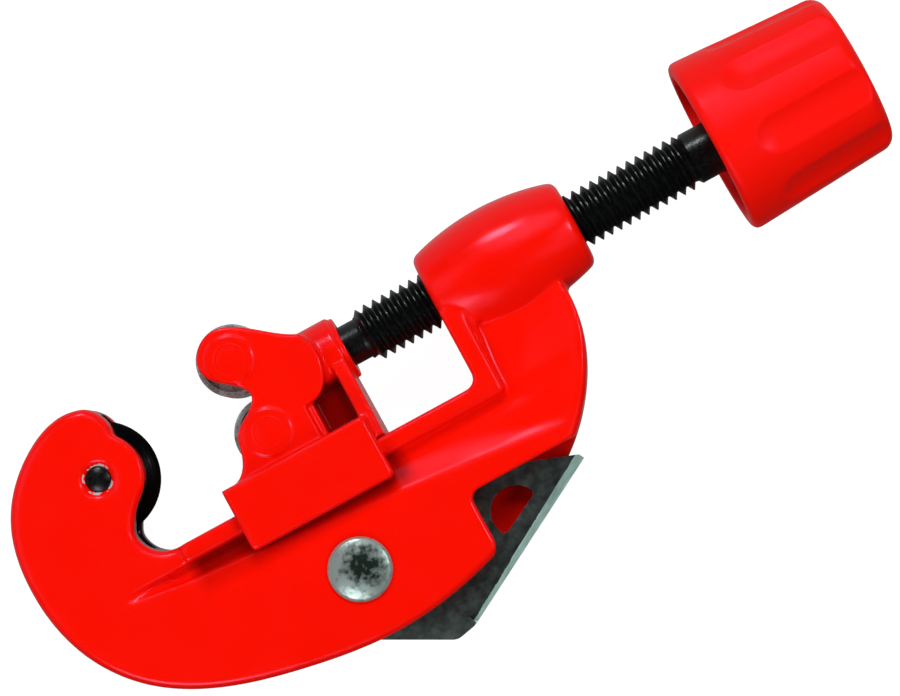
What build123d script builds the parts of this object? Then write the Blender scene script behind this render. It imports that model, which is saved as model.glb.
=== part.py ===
from build123d import *
from math import asin, cos, degrees, radians, sin, sqrt
import os

# Tube cutter lying on its side.  X runs along the feed screw to the knob, Y out of the throat,
# Z up.  The origin is the axis of a tube held between the wheel and the rollers.
os.makedirs("parts", exist_ok=True)

# ---- driving sizes, in millimetres
tube_r = 7.5                # radius of the tube that the jaws are set for
wheel_r = 9.9               # cutting edge of the wheel
roller_r = 6.2
roller_half_pitch = 6.9     # rollers sit this far above and below the screw axis
fork_half = 7.3             # half thickness of the casting at the hook
slot_half = 2.8             # half width of the wheel slot and of the reamer cavity
web_half = 4.9              # half thickness of the casting under the rail
rail_half = 7.9             # half width of the rail head
rail_top = -16.5
rail_height = 3.3
rail_left = -10.4
arm_x = 46.4                # inner face of the arm, and front of the screw boss
arm_flange = 3.65
head_edge_r = 0.6           # rounding of the rail head and the flange
boss_edge_r = 1.8
boss_length = 27.5
boss_r = 10.0               # at the middle of the barrel
boss_end_r = 7.7
screw_r = 4.95              # over the thread
running = 0.05              # radial clearance of a pin or shaft that turns
sliding = 0.2               # clearance between the slide and the rail
edge_r = 1.5                # rounding of the outer edges of the casting

# ---- wheel axle, its clip and the cutting wheel
axle_r = 1.9
axle_head_r = 2.3
axle_head_depth = 1.6       # from the face of the fork down to the shoulder
axle_recess = 0.5           # the head lies this far under the face
axle_sink_r = 3.3           # countersink round the head
axle_sink_depth = 0.8
axle_tail = 1.5             # the tail stands this far out on the other side
clip_thickness = 0.6
clip_r = 3.6
clip_groove_r = 1.4
clip_gap = 0.15
wheel_hub_half = 2.5
wheel_hub_r = 4.4
wheel_web_half = 1.5
wheel_web_r = 7.4
wheel_edge_half = 0.06

# ---- reamer, folded from sheet, and what it turns on
rivet_x = 14.4
rivet_y = -34.4
rivet_r = 2.4
rivet_head_r = 5.5
rivet_head_height = 1.7
rivet_tail_r = 4.2
rivet_tail_height = 1.2
sheet = 1.2
blade_top = 2.5             # upper face of the blade's flat
blade_sweep_r = 12.2        # the cavity clears the back of the blade by this radius
bend_tip_r = 1.6
bend_heel_r = 2.7
lip_reach = 2.9             # from the bend's start out to the lip's edge
lip_splay = 18.0
spacer_r = 4.0
washer_thickness = 0.5
stack_gap = 0.05

# ---- slide
cheek_half = 8.5            # outer faces of the roller fork
roller_half = 4.6
roller_gap = 0.2            # between a roller's end and the cheek
lobe_r = 5.7
saddle_half = 11.0
saddle_left = 0.3
saddle_length = 26.9
saddle_top = -12.0
saddle_bottom = -23.4
wall_right = 28.8
socket_r = 6.0
socket_rim_r = 5.5
socket_end = 29.8
pin_r = 2.5
pin_proud = 0.25
pad_r = 4.0                 # raised pad round each end of a roller pin
pad_height = 0.3
saddle_edge_r = 0.8
saddle_sink = 0.05          # dish of its broad side faces, so that it lies on their rims and doesn't rock
cheek_edge_r = 0.5
roller_sink = 1.0
roller_rim = 0.9

# ---- feed screw and knob
nose_r = 3.6
nose_length = 9.6           # inside the socket
thread_start = 32.9
thread_end = 95.6
shank_r = 4.6
tail_r = 3.95
retaining_pin_r = 1.0
retaining_x = 23.0
retaining_reach = 4.2       # how far past the mid-plane the retaining pin reaches
knob_x = 99.9
knob_length = 28.3
knob_r = 15.8
knob_end_r = 14.4
knob_wall = 2.4
knob_depth = 11.0
hub_r = 7.2
hub_set_back = 3.2
flute_count = 8
flute_width = 7.0
flute_depth = 1.1
flute_start = 7.6
knob_pin_r = 1.25
knob_pin_set_back = 7.3
flute_phase = 30.0


# ---- places worked out from the sizes
wheel_x = -(tube_r + wheel_r)
roller_x = sqrt((tube_r + roller_r) ** 2 - roller_half_pitch ** 2)
rail_bottom = rail_top - rail_height
groove_r = nose_r - 0.9
retaining_y = groove_r + retaining_pin_r + running
boss_end_x = arm_x + boss_length
knob_pin_x = knob_x + knob_pin_set_back
pad_top = cheek_half + pad_height


def on_z(radius, low, high, x, y):
    """A round bar along Z, as a cutter or a plain pin."""
    with BuildPart(Plane.XY.offset(low)) as bar:
        with Locations((x, y)):
            Cylinder(radius, high - low, align=(Align.CENTER, Align.CENTER, Align.MIN))
    return bar.part


def dome(radius, rim, height):
    """Three points of a shallow round top, from its rim to its middle on the axis."""
    ball = (radius ** 2 + height ** 2) / (2 * height)
    half = asin(radius / ball) / 2
    return (radius, rim), (ball * sin(half), rim + height - ball * (1 - cos(half))), (0, rim + height)


# ---- frame: one die casting
hook_tip = (-14.0, 11.6)
arm_top = (67.2, -9.0)
arm_root = -3.0             # the arm runs up into the screw boss to this height
cheek_r = 7.8               # the fork's front edge is concentric with the wheel
throat_r = 5.5
throat_x = -16.3            # deepest point of the throat
window_r = 2.0
bulge_low = (wheel_x + cheek_r * cos(radians(48)), -cheek_r * sin(radians(48)))
bulge_high = (wheel_x + cheek_r * cos(radians(42)), cheek_r * sin(radians(42)))
throat_low = (throat_x + throat_r, rail_top)
throat_mid = (throat_x + 0.293 * throat_r, rail_top + 0.293 * throat_r)
throat_high = (throat_x, rail_top + throat_r)
flange_x = arm_x + arm_flange
hollow_low = rail_bottom - 2.0

with BuildPart() as frame:
    # hook, belly and arm
    with BuildSketch() as plate:
        with BuildLine():
            Spline(hook_tip, (-17.9, 12.4), (-26.3, 9.3), (-34.1, 0.5), (-36.4, -11.0), (-33.3, -25.4),
                   (-26.3, -34.5), (-16.4, -40.4), (-1.5, -44.6), (14.0, -46.5), (28.2, -45.0),
                   (42.9, -40.2), (54.9, -33.5), (61.9, -26.0), (65.8, -18.5), arm_top)
            Polyline(arm_top, (arm_top[0] - 3, arm_root), (arm_x, arm_root), (arm_x, rail_top), throat_low)
            ThreePointArc(throat_low, throat_mid, throat_high)
            ThreePointArc(throat_high, (-14.9, -8.5), bulge_low)
            ThreePointArc(bulge_low, (wheel_x + cheek_r, 0), bulge_high)
            ThreePointArc(bulge_high, (-11.9, 9.0), hook_tip)
        make_face()
    extrude(amount=fork_half, both=True)
    # rounded edge all along the back of the hook, the belly and the arm, and round the hook's front
    rims = frame.edges().filter_by(Plane.XY).filter_by(lambda e: e.length > 60 or e.center().X < rail_left)
    fillet(rims, edge_r)
    # each side is hollowed under the rail and beside the arm, and the hollow fades out on the hook
    for side in (1, -1):
        with BuildSketch(Plane.XY.offset(side * web_half)):
            with BuildLine():
                Polyline((-15.2, rail_bottom), (-15.2, hollow_low), (20.0, hollow_low), (flange_x + 2, hollow_low),
                         (62.0, arm_root), (flange_x, arm_root), (flange_x, rail_bottom), close=True)
            make_face()
        with BuildSketch(Plane.XY.offset(side * (fork_half + 0.1))):
            with BuildLine():
                Polyline((-23.8, rail_bottom), (-23.8, -21.2), (20.0, -25.8), (59.0, -29.6),
                         (80.0, arm_root), (flange_x, arm_root), (flange_x, rail_bottom), close=True)
            make_face()
        loft(ruled=True, mode=Mode.SUBTRACT)
    # rail head and the arm's inner flange
    with BuildSketch() as rail:
        with BuildLine():
            Polyline((rail_left, rail_top), (arm_x, rail_top), (arm_x, arm_root), (flange_x, arm_root),
                     (flange_x, rail_bottom), (rail_left, rail_bottom), close=True)
        make_face()
    extrude(amount=rail_half, both=True)
    corner = frame.edges().filter_by(Axis.Z).group_by(lambda e: round(e.center().X - arm_x, 1) ** 2
                                                      + round(e.center().Y - rail_top, 1) ** 2)[0]
    fillet(corner, window_r)
    head_edges = frame.edges().filter_by(lambda e: abs(abs(e.center().Z) - rail_half) < 0.01 and e.length > 10
                                         and (abs(e.center().Y - rail_bottom) < 0.01
                                              or abs(e.center().X - flange_x) < 0.01))
    fillet(head_edges, head_edge_r)
    # barrel-shaped boss that the screw runs through
    with BuildSketch() as barrel:
        with BuildLine():
            ThreePointArc((arm_x, boss_end_r), (arm_x + boss_length / 2, boss_r), (boss_end_x, boss_end_r))
            Polyline((boss_end_x, boss_end_r), (boss_end_x, 0), (arm_x, 0), (arm_x, boss_end_r))
        make_face()
        fillet(barrel.vertices().filter_by(lambda v: v.Y > 1), boss_edge_r)
    revolve(axis=Axis.X)
    with Locations(Location((arm_x - 1, 0, 0), (0, 90, 0))):
        Cylinder(screw_r + 0.1, boss_length + 2, align=(Align.CENTER, Align.CENTER, Align.MIN),
                 mode=Mode.SUBTRACT)
    # slot for the wheel
    with BuildSketch():
        with Locations((wheel_x, 0)):
            Circle(wheel_r + 1.0)
        with Locations((wheel_x, 0)):
            Rectangle(12, 14.6, align=(Align.MIN, Align.MAX))
    extrude(amount=slot_half, both=True, mode=Mode.SUBTRACT)
    # cavity that the reamer folds into, open along the belly
    with BuildSketch():
        with Locations((rivet_x, rivet_y)):
            Circle(blade_sweep_r)
        with BuildLine():
            Polyline((3.8, -24.5), (rivet_x, rivet_y + blade_sweep_r), (50.0, -29.0), (64.0, -29.0),
                     (64.0, -60.0), (-10.0, -60.0), (-4.5, -43.0), close=True)
        make_face()
    extrude(amount=slot_half, both=True, mode=Mode.SUBTRACT)
    # finger notch in the upper wall, over the blade
    with BuildSketch(Plane.XY.offset(slot_half - 0.5)) as notch:
        with BuildLine():
            Polyline((36.4, -31.9), (70.0, -31.9), (70.0, -60.0), (31.0, -60.0), (31.0, -46.0),
                     (36.5, -42.2), close=True)
        make_face()
        fillet(notch.vertices().group_by(Axis.Y)[-1].sort_by(Axis.X)[0], 1.8)
        fillet(notch.vertices().sort_by(lambda v: (v.X - 36.5) ** 2 + (v.Y + 42.2) ** 2)[0], 3.4)
    extrude(amount=10, mode=Mode.SUBTRACT)
    # axle bore, countersunk at the face, and the rivet's bore
    with Locations((wheel_x, 0, 0)):
        Cylinder(axle_r + 0.02, 2 * fork_half + 1, mode=Mode.SUBTRACT)
    add(on_z(axle_head_r + 0.05, fork_half - axle_head_depth, fork_half + 1, wheel_x, 0), mode=Mode.SUBTRACT)
    with Locations((wheel_x, 0, fork_half + 0.01)):
        Cone(axle_head_r + 0.05, axle_sink_r, axle_sink_depth, align=(Align.CENTER, Align.CENTER, Align.MAX),
             mode=Mode.SUBTRACT)
    with Locations((rivet_x, rivet_y, 0)):
        Cylinder(rivet_r + 0.02, 2 * fork_half + 1, mode=Mode.SUBTRACT)

frame.part.label = "frame"
export_step(frame.part, "parts/frame.step")

# ---- cutting wheel, turned from the solid
wheel_axis = Axis((wheel_x, 0, 0), (0, 0, 1))
wheel_plane = Plane(origin=(wheel_x, 0, 0), x_dir=(1, 0, 0), z_dir=(0, -1, 0))
with BuildPart() as cutter_wheel:
    with BuildSketch(wheel_plane):
        with BuildLine():
            Polyline((axle_r + running, 0), (axle_r + running, wheel_hub_half), (wheel_hub_r, wheel_hub_half),
                     (wheel_hub_r + 0.4, wheel_web_half), (wheel_web_r, wheel_web_half),
                     (wheel_r, wheel_edge_half), (wheel_r, 0), close=True)
        make_face()
        mirror(about=Plane.XZ)
    revolve(axis=wheel_axis)
cutter_wheel.part.label = "cutter_wheel"
export_step(cutter_wheel.part, "parts/cutter_wheel.step")

# ---- the wheel's axle: a headed pin with a groove for its clip
head_top = fork_half - axle_recess
clip_low = -(fork_half + clip_gap + clip_thickness)
with BuildPart() as wheel_axle:
    with BuildSketch(wheel_plane):
        with BuildLine():
            Polyline((0, head_top), (0, -fork_half - axle_tail), (axle_r - 0.3, -fork_half - axle_tail),
                     (axle_r, -fork_half - axle_tail + 0.3), (axle_r, clip_low - 0.02),
                     (clip_groove_r, clip_low - 0.02), (clip_groove_r, clip_low + clip_thickness + 0.02),
                     (axle_r, clip_low + clip_thickness + 0.02), (axle_r, fork_half - axle_head_depth),
                     (axle_head_r, fork_half - axle_head_depth), (axle_head_r, head_top - 0.7))
            ThreePointArc(*dome(axle_head_r, head_top - 0.7, 0.7))
        make_face()
    revolve(axis=wheel_axis)
wheel_axle.part.label = "wheel_axle"
export_step(wheel_axle.part, "parts/wheel_axle.step")

# ---- retaining clip, open on one side so that it snaps into the groove
with BuildPart() as wheel_axle_clip:
    with BuildSketch(Plane.XY.offset(clip_low)):
        with Locations((wheel_x, 0)):
            Circle(clip_r)
            Circle(clip_groove_r + 0.02, mode=Mode.SUBTRACT)
            Rectangle(2 * clip_groove_r, 2 * clip_r, align=(Align.CENTER, Align.MIN), mode=Mode.SUBTRACT)
        with Locations((wheel_x - clip_r * 0.72, 0), (wheel_x + clip_r * 0.72, 0)):
            Circle(0.7, mode=Mode.SUBTRACT)
    extrude(amount=clip_thickness)
wheel_axle_clip.part.label = "wheel_axle_clip"
export_step(wheel_axle_clip.part, "parts/wheel_axle_clip.step")

# ---- reamer: a sheet blade whose long edge is folded down into a lip
blade_low = blade_top - sheet
tip = Vector(54.8, -33.2)   # the bend runs from here
heel = Vector(25.7, -49.0)  # to here
fold = (heel - tip).normalized()
outward = Vector(-fold.Y, fold.X)
turn = radians(90 - lip_splay)


def corner_near(sketch, x, y):
    """The sketch's corner nearest to a point."""
    return sketch.vertices().sort_by(lambda v: (v.X - x) ** 2 + (v.Y - y) ** 2)[0]


with BuildPart() as reamer:
    with BuildSketch(Plane.XY.offset(blade_low)):
        Polygon((tip.X, tip.Y), (14.4, -26.0), (5.0, -26.0), (5.0, -43.4), (15.0, -53.0), (22.0, -54.0),
                (heel.X + lip_reach * outward.X, heel.Y + lip_reach * outward.Y), (heel.X, heel.Y), align=None)
    extrude(amount=sheet)
    # the bend, tight at the tip and open at the heel, and the lip below it
    for place, outer_r in ((tip, bend_tip_r), (heel, bend_heel_r)):
        inner_r = outer_r - sheet
        leg = (lip_reach - outer_r * sin(turn)) / cos(turn)
        outer_end = (outer_r * sin(turn), outer_r * (cos(turn) - 1))
        inner_end = (inner_r * sin(turn), inner_r * cos(turn) - outer_r)
        with BuildSketch(Plane(origin=(place.X, place.Y, blade_top), x_dir=(outward.X, outward.Y, 0),
                               z_dir=(fold.X, fold.Y, 0))):
            with BuildLine():
                ThreePointArc((0, 0), (outer_r * sin(turn / 2), outer_r * (cos(turn / 2) - 1)), outer_end)
                Polyline(outer_end, (outer_end[0] + leg * cos(turn), outer_end[1] - leg * sin(turn)),
                         (inner_end[0] + leg * cos(turn), inner_end[1] - leg * sin(turn)), inner_end)
                ThreePointArc(inner_end, (inner_r * sin(turn / 2), inner_r * cos(turn / 2) - outer_r),
                              (0, -sheet))
                Line((0, -sheet), (0, 0))
            make_face()
    loft(ruled=True)
    # cut to the outline of the blank
    with BuildSketch() as blank:
        with BuildLine():
            Polyline((14.4, -26.9), (7.0, -29.6), (5.9, -43.4), (22.9, -52.6), (27.8, -51.6), (56.4, -36.0),
                     (55.8, -34.9), (47.9, -32.0), (14.4, -26.9))
        make_face()
        for x, y, r in ((5.9, -43.4, 3.0), (7.0, -29.6, 5.0), (14.4, -26.9, 8.0), (22.9, -52.6, 2.4),
                        (27.8, -51.6, 5.0), (47.9, -32.0, 6.0), (55.8, -34.9, 0.5), (56.4, -36.0, 0.5)):
            fillet(corner_near(blank, x, y), r)
        # finger hole, a rounded D
        with BuildSketch(mode=Mode.SUBTRACT) as finger_hole:
            with BuildLine():
                Line((38.4, -40.9), (46.1, -37.0))
                ThreePointArc((46.1, -37.0), (39.2, -34.8), (38.4, -40.9))
            make_face()
            fillet(finger_hole.vertices(), 0.9)
        with Locations((rivet_x, rivet_y)):
            Circle(rivet_r + running, mode=Mode.SUBTRACT)
    extrude(amount=fork_half, both=True, mode=Mode.INTERSECT)
reamer.part.label = "reamer"
export_step(reamer.part, "parts/reamer.step")

# ---- rivet that the reamer swings on, with its spacer and spring washer
rivet_axis = Axis((rivet_x, rivet_y, 0), (0, 0, 1))
rivet_plane = Plane(origin=(rivet_x, rivet_y, 0), x_dir=(1, 0, 0), z_dir=(0, -1, 0))
head_wall = 0.5
with BuildPart() as reamer_rivet:
    with BuildSketch(rivet_plane):
        with BuildLine():
            Polyline((0, fork_half + rivet_head_height), (0, -fork_half - rivet_tail_height))
            ThreePointArc(*[(x, -z) for x, z in dome(rivet_tail_r, fork_half + 0.2, rivet_tail_height - 0.2)])
            Polyline((rivet_tail_r, -fork_half - 0.2), (rivet_tail_r, -fork_half), (rivet_r, -fork_half),
                     (rivet_r, fork_half), (rivet_head_r, fork_half), (rivet_head_r, fork_half + head_wall))
            ThreePointArc(*dome(rivet_head_r, fork_half + head_wall, rivet_head_height - head_wall))
        make_face()
    revolve(axis=rivet_axis)
reamer_rivet.part.label = "reamer_rivet"
export_step(reamer_rivet.part, "parts/reamer_rivet.step")

washer_top = blade_low - stack_gap
washer_low = washer_top - washer_thickness
spacer_top = washer_low - stack_gap
with BuildPart() as reamer_spacer:
    with BuildSketch(Plane.XY.offset(-slot_half + stack_gap)):
        with Locations((rivet_x, rivet_y)):
            Circle(spacer_r)
            Circle(rivet_r + running, mode=Mode.SUBTRACT)
    extrude(amount=spacer_top + slot_half - stack_gap)
reamer_spacer.part.label = "reamer_spacer"
export_step(reamer_spacer.part, "parts/reamer_spacer.step")

with BuildPart() as reamer_spring_washer:
    with BuildSketch(rivet_plane):
        with BuildLine():
            Polyline((rivet_r + running, washer_top - 0.25), (rivet_r + running, washer_top),
                     (spacer_r + 0.8, washer_low + 0.25), (spacer_r + 0.8, washer_low), close=True)
        make_face()
    revolve(axis=rivet_axis)
reamer_spring_washer.part.label = "reamer_spring_washer"
export_step(reamer_spring_washer.part, "parts/reamer_spring_washer.step")

# ---- slide: a second casting, with the roller fork, the screw socket and the saddle
saddle_mid = (saddle_top + saddle_bottom) / 2
roller_slot = roller_half + roller_gap
core_left = roller_x + roller_r + 0.5
up_x, up_y = lobe_up = (roller_x, roller_half_pitch)
low_x, low_y = lobe_down = (roller_x, -roller_half_pitch)
with BuildPart() as slide:
    # roller fork and the body behind it, full width
    with BuildSketch() as fork:
        with BuildLine():
            Spline((2.2, saddle_top), (4.7, -10.6), (low_x - 5.6, low_y - 0.4), (low_x - 4.85, low_y + 2.0),
                   (low_x - 3.1, low_y + 3.6), (roller_x - 0.6, -1.6), (roller_x + 0.35, 0.2),
                   (roller_x - 0.6, 1.9), (up_x - 2.9, up_y - 3.0), (up_x - 4.7, up_y - 1.2),
                   (up_x - 5.4, up_y + 1.1), (up_x - 3.8, up_y + 4.3), (up_x, up_y + 5.75),
                   (up_x + 3.2, up_y + 4.6), (18.8, 8.8), (24.2, 5.2))
            ThreePointArc((24.2, 5.2), (25.4, 0.6), (24.2, -3.6))
            ThreePointArc((24.2, -3.6), (22.4, -5.4), (19.4, -5.9))
            Polyline((19.4, -5.9), (19.4, saddle_top), (2.2, saddle_top))
        make_face()
    extrude(amount=cheek_half, both=True)
    fillet(slide.edges().filter_by(Plane.XY).filter_by(lambda e: e.center().Y > saddle_top + 0.5), cheek_edge_r)
    with Locations((*lobe_up, 0), (*lobe_down, 0)):
        Cylinder(pad_r, 2 * (cheek_half + pad_height))
    # socket drum with its rim
    with Locations(Location((core_left - 1, 0, 0), (0, 90, 0))):
        Cylinder(socket_r, wall_right - core_left + 1, align=(Align.CENTER, Align.CENTER, Align.MIN))
    with Locations(Location((wall_right - 1, 0, 0), (0, 90, 0))):
        Cylinder(socket_rim_r, socket_end - wall_right + 1, align=(Align.CENTER, Align.CENTER, Align.MIN))
    # web and end wall under the drum
    with BuildSketch():
        with Locations(((core_left + wall_right) / 2, -8)):
            Rectangle(wall_right - core_left, 14)
    extrude(amount=2.6, both=True)
    with BuildSketch(Plane.YZ.offset(wall_right - 2.6)) as wall:
        with BuildLine():
            Polyline((-2.0, 6.0), (-5.0, 6.6), (rail_top + sliding, 8.2), (rail_top + sliding, -8.2),
                     (-5.0, -6.6), (-2.0, -6.0), close=True)
        make_face()
    extrude(amount=2.6)
    # saddle that wraps the rail
    with BuildSketch(Plane.YZ.offset(saddle_left)) as saddle:
        with BuildLine():
            for side in (-1, 1):
                ThreePointArc((saddle_bottom, side * saddle_half), (saddle_mid, side * (saddle_half - saddle_sink)),
                              (saddle_top, side * saddle_half))
            for level in (saddle_bottom, saddle_top):
                Line((level, -saddle_half), (level, saddle_half))
        make_face()
    extrude(amount=saddle_length)
    rims = slide.edges().filter_by(lambda e: abs(e.center().Z) > saddle_half - 0.1)
    corners = slide.edges().filter_by(Axis.Z).filter_by(lambda e: abs(e.center().Z) > cheek_half
                                                        or e.center().Y < saddle_bottom + 0.1)
    fillet(rims + corners, saddle_edge_r)
    # the rail's channel, its lips hooked under the rail, and the wider mouth below them
    with BuildSketch(Plane.YZ.offset(saddle_left - 1)):
        with Locations(((rail_top + rail_bottom) / 2, 0)):
            Rectangle(rail_height + 2 * sliding, 2 * (rail_half + sliding))
        with Locations((hollow_low, 0)):
            Rectangle(2 * (rail_bottom - hollow_low), 2 * (web_half + sliding))
        with Locations((hollow_low + sliding, 0)):
            Rectangle(2 * (hollow_low + sliding - saddle_bottom + 1), 2 * (fork_half + sliding),
                      align=(Align.MAX, Align.CENTER))
    extrude(amount=wall_right + 2, mode=Mode.SUBTRACT)
    # the roof's front edge is relieved so that it clears the throat when the jaws close
    with BuildSketch(Plane.XY):
        with BuildLine():
            Polyline((saddle_left - 1, rail_top), (saddle_left + 3.2, rail_top), (saddle_left - 1, rail_top + 3.2),
                     close=True)
        make_face()
    extrude(amount=fork_half + 0.3, both=True, mode=Mode.SUBTRACT)
    # gap of the roller fork
    with BuildSketch():
        with Locations((roller_x, 0)):
            SlotCenterToCenter(2 * roller_half_pitch, 2 * (roller_r + 0.5), rotation=90)
        with Locations((core_left, 0)):
            Rectangle(24, 2 * roller_half_pitch, align=(Align.MAX, Align.CENTER))
        with Locations((core_left, roller_half_pitch)):
            Rectangle(24, 12, align=(Align.MAX, Align.MIN))
    extrude(amount=roller_slot, both=True, mode=Mode.SUBTRACT)
    # bores: screw nose, roller pins, retaining pin
    with Locations(Location((socket_end - nose_length, 0, 0), (0, 90, 0))):
        Cylinder(nose_r + running, nose_length + 1, align=(Align.CENTER, Align.CENTER, Align.MIN),
                 mode=Mode.SUBTRACT)
    with Locations((*lobe_up, 0), (*lobe_down, 0)):
        Cylinder(pin_r + 0.02, 2 * cheek_half + 1, mode=Mode.SUBTRACT)
    add(on_z(retaining_pin_r + 0.01, -cheek_half - 1, retaining_reach, retaining_x, retaining_y),
        mode=Mode.SUBTRACT)
slide.part.label = "slide"
export_step(slide.part, "parts/slide.step")

# ---- rollers: one shape, with sunk ends
for name, y in (("upper_roller", roller_half_pitch), ("lower_roller", -roller_half_pitch)):
    roller_axis = Axis((roller_x, y, 0), (0, 0, 1))
    with BuildPart() as roller:
        with BuildSketch(Plane(origin=(roller_x, y, 0), x_dir=(1, 0, 0), z_dir=(0, -1, 0))):
            with BuildLine():
                Polyline((pin_r + running, 0), (pin_r + running, roller_half), (pin_r + 1.3, roller_half),
                         (pin_r + 1.3, roller_half - roller_sink), (roller_r - roller_rim, roller_half - roller_sink),
                         (roller_r - roller_rim, roller_half), (roller_r - 0.3, roller_half),
                         (roller_r, roller_half - 0.3), (roller_r, 0), close=True)
            make_face()
            mirror(about=Plane.XZ)
        revolve(axis=roller_axis)
    roller.part.label = name
    export_step(roller.part, "parts/" + name + ".step")
    # its pin is pressed through both cheeks and peened over at the ends
    with BuildPart() as pin:
        with BuildSketch(Plane(origin=(roller_x, y, 0), x_dir=(1, 0, 0), z_dir=(0, -1, 0))):
            with BuildLine():
                Line((0, 0), (pin_r, 0))
                Line((pin_r, 0), (pin_r, pad_top))
                ThreePointArc(*dome(pin_r, pad_top, pin_proud))
                Line((0, pad_top + pin_proud), (0, 0))
            make_face()
            mirror(about=Plane.XZ)
        revolve(axis=roller_axis)
    pin.part.label = name + "_pin"
    export_step(pin.part, "parts/" + name + "_pin.step")

# ---- feed screw: nose with a groove, thread, shank, and the tail inside the knob
nose_end = socket_end - nose_length + 0.2
groove_half = retaining_pin_r + running
knob_end = knob_x + knob_length
shoulder_x = knob_x + hub_set_back
tail_end = knob_end - 7.0
with BuildPart() as feed_screw:
    with BuildSketch():
        with BuildLine():
            Polyline((nose_end, 0), (nose_end, nose_r - 0.5), (nose_end + 0.5, nose_r),
                     (retaining_x - groove_half, nose_r), (retaining_x - groove_half, groove_r),
                     (retaining_x + groove_half, groove_r), (retaining_x + groove_half, nose_r),
                     (thread_start, nose_r), (thread_start + 0.9, screw_r), (thread_end - 0.35, screw_r),
                     (thread_end, shank_r), (shoulder_x, shank_r), (shoulder_x, tail_r), (tail_end, tail_r),
                     (tail_end, 0), close=True)
        make_face()
    revolve(axis=Axis.X)
    with Locations((knob_pin_x, 0, 0)):
        Cylinder(knob_pin_r + 0.01, 4 * tail_r, mode=Mode.SUBTRACT)
feed_screw.part.label = "feed_screw"
export_step(feed_screw.part, "parts/feed_screw.step")

# ---- pin across the socket, which runs in the screw's groove
with BuildPart(Plane.XY.offset(-cheek_half)) as screw_retaining_pin:
    with Locations((retaining_x, retaining_y)):
        Cylinder(retaining_pin_r, cheek_half + retaining_reach, align=(Align.CENTER, Align.CENTER, Align.MIN))
screw_retaining_pin.part.label = "screw_retaining_pin"
export_step(screw_retaining_pin.part, "parts/screw_retaining_pin.step")

# ---- knob: a moulded cap with shallow flutes, hollow towards the frame
with BuildPart() as knob:
    with BuildSketch():
        with BuildLine():
            Polyline((knob_x + knob_depth, hub_r), (shoulder_x, hub_r), (shoulder_x, 0), (knob_end + 0.5, 0))
            ThreePointArc((knob_end + 0.5, 0), (knob_end + 0.35, 6.0), (knob_end - 0.1, knob_end_r - 2.6))
            ThreePointArc((knob_end - 0.1, knob_end_r - 2.6), (knob_end - 0.85, knob_end_r - 0.8),
                          (knob_end - 2.8, knob_end_r))
            Line((knob_end - 2.8, knob_end_r), (knob_x + 1.4, knob_r))
            ThreePointArc((knob_x + 1.4, knob_r), (knob_x + 0.35, knob_r - 0.4), (knob_x, knob_r - 1.2))
            Polyline((knob_x, knob_r - 1.2), (knob_x, knob_r - knob_wall + 0.3),
                     (knob_x + 0.5, knob_r - knob_wall), (knob_x + knob_depth, knob_r - knob_wall - 0.8),
                     (knob_x + knob_depth, hub_r))
        make_face()
    revolve(axis=Axis.X)
    # flutes with round ends, following the taper
    taper = (knob_r - knob_end_r) / (knob_length - 4.2)
    flute_r0 = knob_r - taper * flute_start
    chord_drop = flute_r0 - sqrt(flute_r0 ** 2 - (flute_width / 2) ** 2)
    sunk = flute_depth - chord_drop
    flute_cut_r = ((flute_width / 2) ** 2 + sunk ** 2) / (2 * sunk)
    flute_axis_r = flute_r0 - flute_depth + flute_cut_r
    flute_x = knob_x + flute_start + flute_width / 2
    for i in range(flute_count):
        turned = Location((0, 0, 0), (-flute_phase - i * 360 / flute_count, 0, 0))
        spot = turned * Location((flute_x, 0, flute_axis_r), (0, 90 + degrees(taper), 0))
        with Locations(spot):
            Cylinder(flute_cut_r, knob_length, align=(Align.CENTER, Align.CENTER, Align.MIN), mode=Mode.SUBTRACT)
            Sphere(flute_cut_r, mode=Mode.SUBTRACT)
    with Locations(Location((shoulder_x - 1, 0, 0), (0, 90, 0))):
        Cylinder(tail_r + 0.01, tail_end - shoulder_x + 1.2, align=(Align.CENTER, Align.CENTER, Align.MIN),
                 mode=Mode.SUBTRACT)
    add(on_z(knob_pin_r + 0.01, -knob_r - 1, hub_r + 0.5, knob_pin_x, 0), mode=Mode.SUBTRACT)
knob.part.label = "knob"
export_step(knob.part, "parts/knob.step")

with BuildPart(Plane.XY.offset(-hub_r + 0.3)) as knob_pin:
    with Locations((knob_pin_x, 0)):
        Cylinder(knob_pin_r, 2 * hub_r - 0.6, align=(Align.CENTER, Align.CENTER, Align.MIN))
knob_pin.part.label = "knob_pin"
export_step(knob_pin.part, "parts/knob_pin.step")
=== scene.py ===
from math import cos, pi, radians, sin
import bmesh
import bpy
from mathutils import Matrix, Vector


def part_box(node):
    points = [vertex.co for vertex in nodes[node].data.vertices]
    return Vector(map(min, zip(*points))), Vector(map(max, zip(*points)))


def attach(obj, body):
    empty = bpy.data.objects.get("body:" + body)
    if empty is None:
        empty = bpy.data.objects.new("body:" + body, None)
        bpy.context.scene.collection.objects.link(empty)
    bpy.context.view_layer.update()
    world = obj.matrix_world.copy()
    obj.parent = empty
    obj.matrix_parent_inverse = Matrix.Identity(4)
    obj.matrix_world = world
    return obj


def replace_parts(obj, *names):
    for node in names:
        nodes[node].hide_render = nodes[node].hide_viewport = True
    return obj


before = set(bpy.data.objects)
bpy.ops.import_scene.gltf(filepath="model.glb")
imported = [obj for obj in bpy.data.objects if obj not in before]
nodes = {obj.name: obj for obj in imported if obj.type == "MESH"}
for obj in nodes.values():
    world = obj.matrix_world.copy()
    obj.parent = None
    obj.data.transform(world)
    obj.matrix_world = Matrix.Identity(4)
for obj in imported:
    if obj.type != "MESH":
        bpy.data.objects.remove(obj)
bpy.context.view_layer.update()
scene = bpy.context.scene
mm = 0.001

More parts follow.
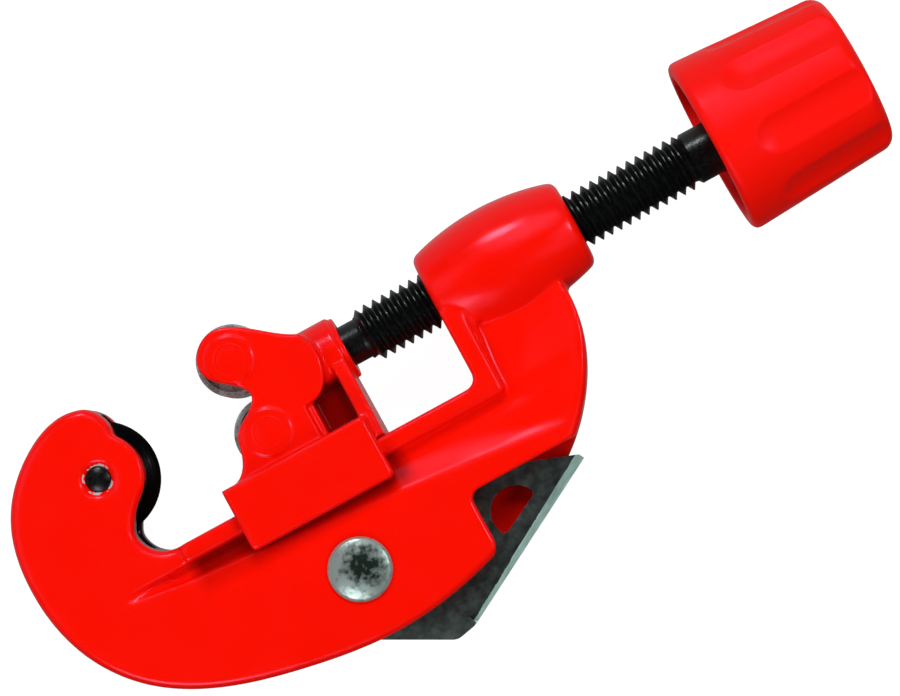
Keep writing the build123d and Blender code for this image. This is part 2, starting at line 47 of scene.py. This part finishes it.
# ---- frame
# The hook, rail, arm and screw boss are one zinc die casting.
# It is sprayed all over with thick glossy red enamel, so every edge and inside corner is soft.
enamel_red = (0.95, 0.0052, 0.0005)
enamel_worn = (0.88, 0.0046, 0.0004)
enamel_shine = 0.28
hollow_shine = 0.04
enamel_glint = (0.90, 0.58, 1.0, 1)
# near black: grime with painted shade in the throat and the wheel's slot
grime_and_painted_shade = (0.006, 0.003, 0.003)
bare_metal = (0.62, 0.56, 0.58)
# a dark red that paints shade into the frame's hollows and the slide's pockets
shaded_red = (0.11, 0.0006, 0.0002)
throat_box = (-18.5 * mm, -17.5 * mm, -5.6 * mm), (-10.5 * mm, -4.5 * mm, 5.2 * mm)
slot_box = (-30 * mm, -12 * mm, -2.9 * mm), (-6 * mm, 12 * mm, 2.9 * mm)
slot_radius = 11.6 * mm
hollow_start, hollow_end = (-9 * mm, -24 * mm), (28 * mm, -20 * mm)
hollow_inner, hollow_outer = 3.0 * mm, 5.7 * mm
hollow_fade = 2.6 * mm
dull_box = (-9 * mm, -27 * mm, -6.8 * mm), (62 * mm, -19 * mm, 6.8 * mm)
axle_place = (-17.4 * mm, 0.0)
chip_radius, chip_width = 2.4 * mm, 0.36 * mm
frame_cell = 0.44 * mm
frame_rounding = 5


def new_material(name, colour, metallic, roughness, coat=0.0, coat_roughness=0.05):
    """A material with its shader, and the piece's own coordinates to draw patterns on."""
    material = bpy.data.materials.new(name)
    material.use_nodes = True
    tree = material.node_tree
    shader = tree.nodes["Principled BSDF"]
    shader.inputs["Base Color"].default_value = (*colour, 1)
    shader.inputs["Metallic"].default_value = metallic
    shader.inputs["Roughness"].default_value = roughness
    shader.inputs["Coat Weight"].default_value = coat
    shader.inputs["Coat Roughness"].default_value = coat_roughness
    place = tree.nodes.new("ShaderNodeTexCoord")
    return material, tree, shader, place.outputs["Object"]


def speckle(tree, where, size, detail=2.0):
    """Cloudy noise whose blobs are about the given size."""
    noise = tree.nodes.new("ShaderNodeTexNoise")
    noise.inputs["Scale"].default_value = 1 / size
    noise.inputs["Detail"].default_value = detail
    tree.links.new(where, noise.inputs["Vector"])
    return noise.outputs["Fac"]


def between(tree, value, low, high, out_low, out_high):
    """Stretch the part of a pattern from low to high over a new range."""
    spread = tree.nodes.new("ShaderNodeMapRange")
    spread.inputs["From Min"].default_value = low
    spread.inputs["From Max"].default_value = high
    spread.inputs["To Min"].default_value = out_low
    spread.inputs["To Max"].default_value = out_high
    tree.links.new(value, spread.inputs["Value"])
    return spread.outputs["Result"]


def blend_colours(tree, share, first, second):
    """One colour, or another pattern's colour, turning into a second one."""
    mix = tree.nodes.new("ShaderNodeMix")
    mix.data_type = "RGBA"
    tree.links.new(share, mix.inputs["Factor"])
    if isinstance(first, tuple):
        mix.inputs["A"].default_value = (*first, 1)
    else:
        tree.links.new(first, mix.inputs["A"])
    mix.inputs["B"].default_value = (*second, 1)
    return mix.outputs["Result"]


def roughen(tree, shader, height, depth, strength=1.0):
    """Turn a pattern into relief of the given depth, on top of what relief there is."""
    bump = tree.nodes.new("ShaderNodeBump")
    bump.inputs["Strength"].default_value = strength
    bump.inputs["Distance"].default_value = depth
    tree.links.new(height, bump.inputs["Height"])
    if shader.inputs["Normal"].is_linked:
        tree.links.new(shader.inputs["Normal"].links[0].from_socket, bump.inputs["Normal"])
    tree.links.new(bump.outputs["Normal"], shader.inputs["Normal"])


def uneven_gloss(tree, shader, where, size, low, high):
    """Let the roughness wander between two values, in blobs of about the given size."""
    tree.links.new(between(tree, speckle(tree, where, size), 0.3, 0.7, low, high), shader.inputs["Roughness"])


def combine(tree, operation, first, second):
    """Two patterns, or a pattern and a number, worked together."""
    step = tree.nodes.new("ShaderNodeMath")
    step.operation = operation
    for socket, value in zip(step.inputs, (first, second)):
        if isinstance(value, (int, float)):
            socket.default_value = value
        else:
            tree.links.new(value, socket)
    return step.outputs["Value"]


def in_box(tree, where, low, high, fade):
    """1 inside a box of the piece, dropping to 0 over the fade round it."""
    axes = tree.nodes.new("ShaderNodeSeparateXYZ")
    tree.links.new(where, axes.inputs["Vector"])
    share = 1.0
    for axis, start, end in zip("XYZ", low, high):
        rise = between(tree, axes.outputs[axis], start - fade, start, 0.0, 1.0)
        drop = between(tree, axes.outputs[axis], end, end + fade, 1.0, 0.0)
        share = combine(tree, "MULTIPLY", combine(tree, "MULTIPLY", rise, drop), share)
    return share


def on_ring(tree, where, centre, radius, width):
    """1 along a circle round an upright axis, dropping to 0 over the width to both sides."""
    flat = tree.nodes.new("ShaderNodeVectorMath")
    flat.operation = "MULTIPLY"
    flat.inputs[1].default_value = (1, 1, 0)
    tree.links.new(where, flat.inputs[0])
    reach = tree.nodes.new("ShaderNodeVectorMath")
    reach.operation = "DISTANCE"
    reach.inputs[1].default_value = (centre[0], centre[1], 0)
    tree.links.new(flat.outputs["Vector"], reach.inputs[0])
    off = combine(tree, "ABSOLUTE", combine(tree, "SUBTRACT", reach.outputs["Value"], radius), 0.0)
    return between(tree, off, 0.0, width, 1.0, 0.0)


def sprayed_enamel(name):
    """Thick glossy enamel, a little uneven in colour and gloss, and the socket of its colour."""
    material, tree, shader, here = new_material(name, enamel_red, 0.0, 0.2)
    shader.inputs["Specular IOR Level"].default_value = enamel_shine
    shader.inputs["Specular Tint"].default_value = enamel_glint
    tone = between(tree, speckle(tree, here, 14 * mm), 0.35, 0.75, 0.0, 0.35)
    colour = blend_colours(tree, tone, enamel_red, enamel_worn)
    uneven_gloss(tree, shader, here, 5 * mm, 0.17, 0.27)
    roughen(tree, shader, speckle(tree, here, 1.3 * mm), 0.03 * mm, 0.35)
    return material, tree, shader, here, colour


enamel, tree, shader, here, colour = sprayed_enamel("enamel")
# grime and painted shade, near black, in the throat and in the wheel's slot
throat = in_box(tree, here, *throat_box, 1.0 * mm)
colour = blend_colours(tree, throat, colour, grime_and_painted_shade)
slot_disc = between(tree, on_ring(tree, here, axle_place, 0.0, slot_radius), 0.0, 0.05, 0.0, 1.0)
slot = combine(tree, "MULTIPLY", in_box(tree, here, *slot_box, 0.5 * mm), slot_disc)
colour = blend_colours(tree, slot, colour, grime_and_painted_shade)
# painted shade: a darker red in the hollows under the rail, on both faces of the casting
for side in (-1, 1):
    low, high = sorted((side * hollow_inner, side * hollow_outer))
    hollow = in_box(tree, here, (*hollow_start, low), (*hollow_end, high), hollow_fade)
    colour = blend_colours(tree, combine(tree, "MULTIPLY", hollow, 0.7), colour, shaded_red)
# the enamel is chipped to bright metal round the axle
chip_noise = between(tree, speckle(tree, here, 1.3 * mm, 3.0), 0.47, 0.55, 0.0, 1.6)
chips = combine(tree, "MULTIPLY", on_ring(tree, here, axle_place, chip_radius, chip_width), chip_noise)
colour = blend_colours(tree, between(tree, chips, 0.35, 0.6, 0.0, 1.0), colour, bare_metal)
tree.links.new(colour, shader.inputs["Base Color"])
# the hollows are duller than the rest
dull = in_box(tree, here, *dull_box, 0.9 * mm)
tree.links.new(between(tree, dull, 0.0, 1.0, enamel_shine, hollow_shine), shader.inputs["Specular IOR Level"])


def merged_copy(node, name, *more):
    """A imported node's own shape, or several nodes' together, with the loose triangles joined up."""
    shape = bmesh.new()
    for part in (node, *more):
        shape.from_mesh(nodes[part].data)
    for layer in [a for a in shape.loops.layers.float_vector.keys()]:
        shape.loops.layers.float_vector.remove(shape.loops.layers.float_vector[layer])
    bmesh.ops.remove_doubles(shape, verts=shape.verts, dist=0.5e-6)
    bmesh.ops.dissolve_degenerate(shape, dist=0.2e-6, edges=shape.edges)
    mesh = bpy.data.meshes.new(name)
    shape.to_mesh(mesh)
    shape.free()
    piece = bpy.data.objects.new(name, mesh)
    scene.collection.objects.link(piece)
    return piece


def soften(piece, cell, passes):
    """Skin the piece afresh in small even cells, then relax them, so that its edges turn round."""
    skin = piece.modifiers.new("skin", "REMESH")
    skin.mode = "VOXEL"
    skin.voxel_size = cell
    skin.use_smooth_shade = True
    relax = piece.modifiers.new("relax", "SMOOTH")
    relax.factor = 0.5
    relax.iterations = passes


casting = merged_copy("frame", "frame_casting")
soften(casting, frame_cell, frame_rounding)
casting.data.materials.append(enamel)
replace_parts(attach(casting, "frame"), "frame")

# ---- slide
# The roller carriage is a second die casting in the same enamel, saddled over the frame's rail.
# The ends of its roller pins are peened over, and the spray covers pins and casting alike.
slide_cell = 0.30 * mm
slide_rounding = 4
roller_places = ((11.84 * mm, 6.9 * mm), (11.84 * mm, -6.9 * mm))
pin_ring_radii = (2.6 * mm, 3.8 * mm)
rib_x, rib_y, rib_z = 19.9 * mm, -8.7 * mm, 4.9 * mm
rib_size = (1.5 * mm, 7.0 * mm, 5.0 * mm)
pocket_start, pocket_end = (20.9 * mm, -13 * mm), (26.1 * mm, -4.4 * mm)
pocket_inner, pocket_outer = 1.5 * mm, 7.2 * mm
pocket_fade = 0.7 * mm
carriage = merged_copy("slide", "slide_casting", "upper_roller_pin", "lower_roller_pin")
# a narrow rib stands beside the pocket on each face, and melts into the casting under the rounding
ribs = bmesh.new()
ribs.from_mesh(carriage.data)
for side in (-1, 1):
    rib_place = Matrix.Translation((rib_x, rib_y, side * rib_z)) @ Matrix.Diagonal((*rib_size, 1))
    bmesh.ops.create_cube(ribs, size=1.0, matrix=rib_place)
ribs.to_mesh(carriage.data)
ribs.free()
soften(carriage, slide_cell, slide_rounding)
carriage_enamel, tree, shader, here, colour = sprayed_enamel("carriage_enamel")
# painted shade: a darker red in the pockets beside the web
for side in (-1, 1):
    low, high = sorted((side * pocket_inner, side * pocket_outer))
    pocket = in_box(tree, here, (*pocket_start, low), (*pocket_end, high), pocket_fade)
    colour = blend_colours(tree, combine(tree, "MULTIPLY", pocket, 0.8), colour, shaded_red)
tree.links.new(colour, shader.inputs["Base Color"])
# the peened ends of the pins show as faint rings through the enamel
for place in roller_places:
    for radius in pin_ring_radii:
        roughen(tree, shader, on_ring(tree, here, place, radius, 0.3 * mm), 0.10 * mm, 0.5)
carriage.data.materials.append(carriage_enamel)
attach(carriage, "slide")
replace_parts(carriage, "slide", "upper_roller_pin", "lower_roller_pin")

# ---- knob
# A moulded red plastic cap with eight finger flutes, hollow towards the frame.
# It is pushed onto the plain end of the screw and held there by a cross pin.
plastic_red = (0.97, 0.0058, 0.0010)
plastic_pale = (0.97, 0.009, 0.004)
plastic_glint = (1.0, 0.45, 0.9, 1)
plastic_shine = 0.14
knob_cell = 0.34 * mm
knob_rounding = 7
plastic, tree, shader, here = new_material("knob_plastic", plastic_red, 0.0, 0.36)
shader.inputs["Specular IOR Level"].default_value = plastic_shine
shader.inputs["Specular Tint"].default_value = plastic_glint
tone = between(tree, speckle(tree, here, 9 * mm, 4.0), 0.4, 0.8, 0.0, 0.3)
tree.links.new(blend_colours(tree, tone, plastic_red, plastic_pale), shader.inputs["Base Color"])
uneven_gloss(tree, shader, here, 3 * mm, 0.32, 0.42)
roughen(tree, shader, speckle(tree, here, 0.5 * mm), 0.02 * mm, 0.4)
grip = merged_copy("knob", "knob_moulding")
soften(grip, knob_cell, knob_rounding)
grip.data.materials.append(plastic)
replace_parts(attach(grip, "feed_screw"), "knob")

# ---- feed screw
# Steel bar with a coarse right-hand thread, a plain nose that turns in the slide's socket and a
# plain shank for the knob, blackened in oxide salts and oiled.
nose_low, nose_high = 20.2 * mm, 33.4 * mm
nose_radius = 3.6 * mm
groove_low, groove_high, groove_radius = 21.9 * mm, 24.1 * mm, 2.7 * mm
thread_low, thread_high = 32.9 * mm, 96.2 * mm
thread_crest, thread_root, thread_pitch = 4.95 * mm, 3.86 * mm, 1.75 * mm
thread_steps = 40
shank_low, shank_high = 95.6 * mm, 107.0 * mm
shank_radius = 4.6 * mm
oxide_black = (0.0022, 0.0026, 0.0026)
oxide_grey = (0.010, 0.011, 0.011)
oxide_shine = 0.4

oxide, tree, shader, here = new_material("black_oxide", oxide_black, 0.0, 0.3)
shader.inputs["Specular IOR Level"].default_value = oxide_shine
tone = between(tree, speckle(tree, here, 0.8 * mm, 4.0), 0.5, 0.8, 0.0, 0.8)
tree.links.new(blend_colours(tree, tone, oxide_black, oxide_grey), shader.inputs["Base Color"])
uneven_gloss(tree, shader, here, 0.5 * mm, 0.24, 0.42)
roughen(tree, shader, speckle(tree, here, 0.25 * mm), 0.01 * mm, 0.5)

bar = bmesh.new()


def turned(shape, outline, axis_point, axis, steps=64):
    """Add a body turned on a lathe: its outline, from end to end of the axis, spun once round."""
    corners = [shape.verts.new(p) for p in outline]
    lines = [shape.edges.new(pair) for pair in zip(corners, corners[1:])]
    done = bmesh.ops.spin(shape, geom=corners + lines, cent=axis_point, axis=axis, angle=2 * pi,
                          steps=steps, use_merge=True)
    return corners, done


def finish_mesh(shape, name, material, smooth_below=35):
    """Close the seams, turn the faces outward and make the piece."""
    bmesh.ops.remove_doubles(shape, verts=shape.verts, dist=1e-6)
    bmesh.ops.dissolve_degenerate(shape, dist=0.5e-6, edges=shape.edges)
    bmesh.ops.recalc_face_normals(shape, faces=shape.faces)
    mesh = bpy.data.meshes.new(name)
    shape.to_mesh(mesh)
    shape.free()
    mesh.materials.append(material)
    mesh.shade_smooth()
    mesh.set_sharp_from_angle(angle=radians(smooth_below))
    piece = bpy.data.objects.new(name, mesh)
    scene.collection.objects.link(piece)
    return piece


soft_edge = 0.35 * mm
turned(bar, [Vector(p) for p in (
    (nose_low, 0, 0), (nose_low, nose_radius - soft_edge, 0), (nose_low + soft_edge, nose_radius, 0),
    (groove_low, nose_radius, 0), (groove_low, groove_radius, 0), (groove_high, groove_radius, 0),
    (groove_high, nose_radius, 0), (nose_high, nose_radius, 0), (nose_high, 0, 0))], (0, 0, 0), (1, 0, 0))
turned(bar, [Vector(p) for p in (
    (shank_low, 0, 0), (shank_low, thread_root, 0), (shank_low + 0.6 * mm, shank_radius, 0),
    (shank_high, shank_radius, 0), (shank_high, 0, 0))], (0, 0, 0), (1, 0, 0))
thread = bmesh.new()
flat, flank = 0.18 * mm, 0.66 * mm
start = thread_low - 2 * thread_pitch
outline = [(start, thread_root),
           (start + thread_pitch - 2 * flank - flat, thread_root),
           (start + thread_pitch - flank - flat, thread_crest),
           (start + thread_pitch - flank, thread_crest),
           (start + thread_pitch, thread_root)]
corners = [thread.verts.new((x, r, 0)) for x, r in outline]
lines = [thread.edges.new(pair) for pair in zip(corners, corners[1:])]
turns = int((thread_high - thread_low) / thread_pitch) + 5
bmesh.ops.spin(thread, geom=corners + lines, cent=(0, 0, 0), axis=(1, 0, 0), angle=2 * pi * turns,
               dvec=(thread_pitch / thread_steps, 0, 0), steps=turns * thread_steps)
bmesh.ops.remove_doubles(thread, verts=thread.verts, dist=2e-6)
for end, away in ((thread_low, -1), (thread_high, 1)):
    bmesh.ops.bisect_plane(thread, geom=thread.verts[:] + thread.edges[:] + thread.faces[:], dist=1e-7,
                           plane_co=(end, 0, 0), plane_no=(away, 0, 0), clear_outer=True)
# the ends of the thread are turned down to its root, so that a nut will start on it
for corner in thread.verts:
    depth = min(corner.co.x - thread_low, thread_high - corner.co.x)
    across = Vector((0, corner.co.y, corner.co.z))
    most = thread_root - 0.1 * mm + depth
    if across.length > most:
        corner.co = Vector((corner.co.x, 0, 0)) + across.normalized() * most
bmesh.ops.holes_fill(thread, edges=[e for e in thread.edges if e.is_boundary])
spare = bpy.data.meshes.new("thread_only")
thread.to_mesh(spare)
thread.free()
bar.from_mesh(spare)
bpy.data.meshes.remove(spare)
screw = finish_mesh(bar, "feed_screw_bar", oxide, 30)
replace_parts(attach(screw, "feed_screw"), "feed_screw")

# ---- cutting wheel
# Hardened tool steel, turned with a hub and ground to a keen edge, blackened like the screw.
# It turns freely on a plain black pin through the fork of the hook.
wheel_low, wheel_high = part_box("cutter_wheel")
wheel_centre = (wheel_low + wheel_high) / 2
wheel_radius = (wheel_high.x - wheel_low.x) / 2
wheel_hub_half = (wheel_high.z - wheel_low.z) / 2
wheel_bore = 1.95 * mm
wheel_edge_half = 0.03 * mm
hub_radius, hub_chamfer = 4.2 * mm, 0.2 * mm
wheel_black = (0.0012, 0.0014, 0.0014)
wheel_shine = 0.05
# fine steps turned into both flanks, each a radius and a half thickness in millimetres
wheel_rim = [(7.4, 1.5), (7.75, 1.30), (7.85, 1.30), (8.25, 1.05), (8.35, 1.05), (8.75, 0.82), (8.85, 0.82),
             (9.2, 0.58), (9.3, 0.58), (9.55, 0.34), (9.65, 0.32)]
half = [(wheel_bore, wheel_hub_half), (hub_radius, wheel_hub_half),
        (hub_radius + hub_chamfer, wheel_hub_half - hub_chamfer),
        (4.6 * mm, 1.7 * mm), (4.9 * mm, 1.5 * mm)] + [(r * mm, z * mm) for r, z in wheel_rim]
keen_edge = [(wheel_radius, wheel_edge_half), (wheel_radius, -wheel_edge_half)]
ring = half + keen_edge + [(r, -z) for r, z in reversed(half)]
disc = bmesh.new()
corners = [disc.verts.new(wheel_centre + Vector((r, 0, z))) for r, z in ring]
lines = [disc.edges.new(pair) for pair in zip(corners, corners[1:] + corners[:1])]
bmesh.ops.spin(disc, geom=corners + lines, cent=wheel_centre, axis=(0, 0, 1), angle=2 * pi, steps=96,
               use_merge=True)
ground_black, tree, shader, here = new_material("ground_black", wheel_black, 0.0, 0.3)
shader.inputs["Specular IOR Level"].default_value = wheel_shine
uneven_gloss(tree, shader, here, 0.6 * mm, 0.22, 0.4)
wheel = finish_mesh(disc, "wheel_disc", ground_black, 20)
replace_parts(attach(wheel, "cutter_wheel"), "cutter_wheel")

nodes["wheel_axle"].data.materials.clear()
nodes["wheel_axle"].data.materials.append(oxide)

# ---- rollers
# Two plain steel rollers that the tube turns on, dished at the ends and bright from use.
# The clip, the cross pins, the bush and the spring washer are of the same bare steel.
steel_bright = (0.56, 0.64, 0.63)
steel_dull = (0.16, 0.20, 0.20)
bright, tree, shader, here = new_material("bright_steel", steel_bright, 0.6, 0.28)
tone = between(tree, speckle(tree, here, 2 * mm, 5.0), 0.4, 0.7, 0.0, 0.8)
tree.links.new(blend_colours(tree, tone, steel_bright, steel_dull), shader.inputs["Base Color"])
uneven_gloss(tree, shader, here, 0.6 * mm, 0.2, 0.38)
roughen(tree, shader, speckle(tree, here, 0.3 * mm), 0.01 * mm, 0.4)
for node in ("upper_roller", "lower_roller", "wheel_axle_clip", "screw_retaining_pin", "knob_pin",
             "reamer_spacer", "reamer_spring_washer"):
    nodes[node].data.materials.clear()
    nodes[node].data.materials.append(bright)

# ---- reamer
# A sheet-steel blade, folded along its long edge into a lip that is ground bright on the outside.
# Its cut edges, and the rim of its D-shaped hole, are bright too; their pale colour, like the lip's, is
# partly a painted highlight.
blade_dark = (0.035, 0.045, 0.043)
blade_grey = (0.10, 0.125, 0.118)
# pale mint for the ground steel, lightened as a painted highlight
blade_ground_and_highlight = (0.62, 0.95, 0.85)
cut_edge = 0.18 * mm
lip_outward = Vector((0.477, -0.879, 0.0))
lip_top = 1.6 * mm
blade_steel, tree, shader, here = new_material("blade_steel", blade_dark, 0.55, 0.34, 0.1, 0.2)
tone = between(tree, speckle(tree, here, 1.6 * mm, 6.0), 0.35, 0.75, 0.0, 1.0)
tree.links.new(blend_colours(tree, tone, blade_dark, blade_grey), shader.inputs["Base Color"])
roughen(tree, shader, speckle(tree, here, 0.4 * mm, 4.0), 0.02 * mm, 0.5)
ground_steel_and_highlight, tree, shader, here = new_material("ground_steel_and_highlight", blade_ground_and_highlight, 0.1, 0.35)
tone = between(tree, speckle(tree, here, 2.5 * mm, 3.0), 0.35, 0.75, 0.0, 0.5)
tree.links.new(blend_colours(tree, tone, blade_ground_and_highlight, blade_grey), shader.inputs["Base Color"])
blade = merged_copy("reamer", "reamer_blade")
blade.data.materials.append(blade_steel)
blade.data.materials.append(ground_steel_and_highlight)
edge = blade.modifiers.new("soft_edges", "BEVEL")
edge.width = cut_edge
edge.material = 1
edge.segments = 2
edge.limit_method = "ANGLE"
edge.angle_limit = radians(40)
blade.data.shade_smooth()
blade.data.set_sharp_from_angle(angle=radians(35))
# the outside of the lip is ground bare, and its pale colour is partly a painted highlight
for face in blade.data.polygons:
    if face.normal.dot(lip_outward) > 0.85 and face.center.z < lip_top:
        face.material_index = 1
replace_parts(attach(blade, "reamer"), "reamer")

# ---- rivet
# A zinc-plated steel rivet with a low domed head.
# The setting punch has dinted its surface, and its plating is mottled; a painted reflection darkens it round
# a spot beside the middle.
zinc_light = (0.46, 0.56, 0.53)
zinc_dark = (0.022, 0.040, 0.030)
painted_dark_centre = (15.4 * mm, -34.1 * mm)
painted_dark_reach = 5.4 * mm
zinc, tree, shader, here = new_material("zinc_plate", zinc_light, 0.65, 0.34)
cloud = between(tree, speckle(tree, here, 1.1 * mm, 5.0), 0.35, 0.65, -0.45, 0.45)
# painted reflection: darker round a spot beside the middle of the head, lighter away from it
middle = between(tree, on_ring(tree, here, painted_dark_centre, 0.0, painted_dark_reach), 0.1, 0.8, -0.1, 1.15)
tone = between(tree, combine(tree, "ADD", middle, cloud), 0.0, 1.0, 0.0, 1.0)
tree.links.new(blend_colours(tree, tone, zinc_light, zinc_dark), shader.inputs["Base Color"])
roughen(tree, shader, speckle(tree, here, 0.9 * mm, 3.0), 0.10 * mm, 0.5)
rivet = merged_copy("reamer_rivet", "rivet_body")
rivet.data.materials.append(zinc)
rivet.data.shade_smooth()
rivet.data.set_sharp_from_angle(angle=radians(40))
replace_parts(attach(rivet, "frame"), "reamer_rivet")

# ---- studio
# A plain pale floor under the tool, and a pale room that is dark straight overhead.
# Three small lamps give the glints and four broad ones the light.
floor_height = -15.85 * mm
paper_grey, paper_glow = (0.16, 0.16, 0.16), 0.97
room_dark, room_pale, room_strength = (0.01, 0.01, 0.01), (0.78, 0.84, 0.86), 0.55
glint_distance, glint_tint = 0.7, (0.92, 1.0, 1.0)
lamp_distance, lamp_tint = 0.95, (1, 1, 1)
floor_mesh = bpy.data.meshes.new("floor")
sheet = bmesh.new()
bmesh.ops.create_grid(sheet, x_segments=1, y_segments=1, size=4.0,
                      matrix=Matrix.Translation((0, 0, floor_height)))
sheet.to_mesh(floor_mesh)
sheet.free()
floor = bpy.data.objects.new("floor", floor_mesh)
scene.collection.objects.link(floor)
paper, tree, shader, here = new_material("floor_paper", paper_grey, 0.0, 0.9)
uneven_gloss(tree, shader, here, 60 * mm, 0.88, 0.92)
shader.inputs["Emission Color"].default_value = (1, 1, 1, 1)
shader.inputs["Emission Strength"].default_value = paper_glow
floor_mesh.materials.append(paper)
floor.visible_glossy = False
floor.visible_diffuse = False

room = bpy.data.worlds.new("room")
scene.world = room
room.use_nodes = True
tree = room.node_tree
direction = tree.nodes.new("ShaderNodeTexCoord")
parts = tree.nodes.new("ShaderNodeSeparateXYZ")
tree.links.new(direction.outputs["Generated"], parts.inputs["Vector"])
sky = between(tree, parts.outputs["Z"], 0.1, 0.45, 1.0, 0.0)
far_side = between(tree, parts.outputs["Y"], -0.5, 0.5, 0.1, 1.0)
lit = combine(tree, "MULTIPLY", sky, far_side)
colour = blend_colours(tree, lit, room_dark, room_pale)
tree.links.new(colour, tree.nodes["Background"].inputs["Color"])
tree.nodes["Background"].inputs["Strength"].default_value = room_strength


def lamp(name, azimuth, elevation, distance, width, length, power, tint, aim=(0.03, -0.012, 0)):
    """A soft rectangular lamp, aimed at the tool from a compass direction and a height above the floor."""
    light = bpy.data.lights.new(name, "AREA")
    light.shape = "RECTANGLE"
    light.size = width
    light.size_y = length
    light.energy = power
    light.color = tint
    towards = Vector((cos(radians(azimuth)) * cos(radians(elevation)),
                      sin(radians(azimuth)) * cos(radians(elevation)), sin(radians(elevation))))
    holder = bpy.data.objects.new(name, light)
    holder.location = Vector(aim) + towards * distance
    holder.rotation_euler = towards.to_track_quat("Z", "Y").to_euler()
    scene.collection.objects.link(holder)
    return holder


# small lamps that only show as glints
for name, azimuth, elevation, width, length, power in (
        ("far_glint", 82, 38, 0.16, 0.12, 1.3), ("right_glint", -4, 42, 0.10, 0.10, 0.8),
        ("near_glint", 226, 40, 0.36, 0.20, 1.4)):
    glint = lamp(name, azimuth, elevation, glint_distance, width, length, power, glint_tint)
    glint.visible_diffuse = False
# broad lamps that light the tool from all round and leave no glint
for name, azimuth, elevation, width, length, power in (
        ("far_lamp", 61, 52, 0.5, 0.5, 5.3), ("left_lamp", 151, 46, 0.6, 0.6, 2.9),
        ("near_lamp", 241, 32, 0.6, 0.4, 3.4), ("right_lamp", 331, 46, 0.6, 0.6, 2.9)):
    broad = lamp(name, azimuth, elevation, lamp_distance, width, length, power, lamp_tint)
    broad.visible_glossy = False

# ---- camera
# It looks down on the tool from far off, turned so that the screw rises to the right.
# The long lens shows hardly more of the near end than of the far one.
camera_place = Vector((61.9, -45.2, 640.0)) * mm
camera_target = Vector((45.1, -8.6, 0.0)) * mm
camera_turn = radians(28.6)
back = (camera_place - camera_target).normalized()
right = Vector((cos(camera_turn), -sin(camera_turn), 0))
right = (right - right.dot(back) * back).normalized()
above = back.cross(right)
lens = bpy.data.cameras.new("camera")
lens.sensor_width = 36
lens.lens = 151.3
lens.clip_start = 0.01
lens.clip_end = 10
camera = bpy.data.objects.new("camera", lens)
camera.matrix_world = Matrix((right, above, back)).transposed().to_4x4()
camera.location = camera_place
scene.collection.objects.link(camera)
scene.camera = camera
scene.view_settings.view_transform = "Standard"
